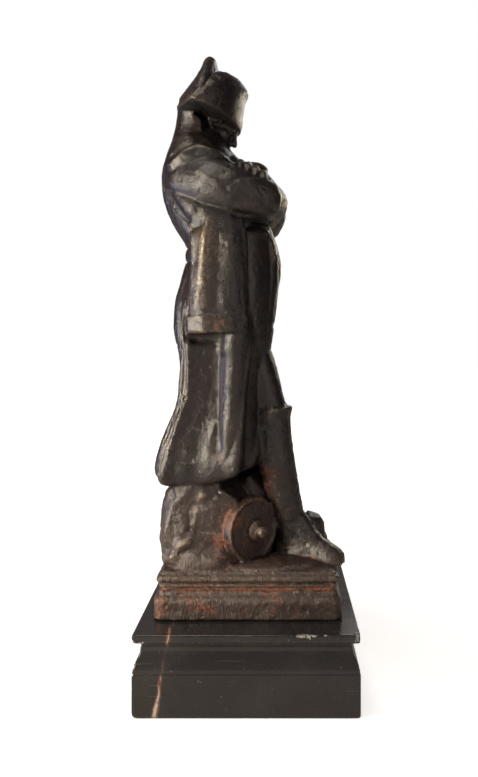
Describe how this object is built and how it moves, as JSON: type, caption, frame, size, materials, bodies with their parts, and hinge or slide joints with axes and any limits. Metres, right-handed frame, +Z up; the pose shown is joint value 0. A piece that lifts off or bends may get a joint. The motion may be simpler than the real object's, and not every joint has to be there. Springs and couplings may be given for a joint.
{
  "type": "cast iron officer statuette on marble plinth",
  "caption": "Desk or mantel statuette: standing officer in hat and greatcoat, arms folded, on stepped cast base and black marble plinth.",
  "frame": {"origin": "middle of the plinth's underside, on the surface it stands on", "axes": "+Z up; +X the way the figure faces; +Y to the figure's left"},
  "size_m": [0.09, 0.09, 0.2767],
  "materials": {
    "cast_iron": "dark brown-black patina over sand-cast grain, worn brighter on edges, rust in the hollows",
    "black_marble": "polished black marble with one brown and white vein, small edge chips"
  },
  "bodies": {
    "root": {"cast_iron_figure": "cast_iron", "marble_plinth": "black_marble"}
  },
  "joints": []
}
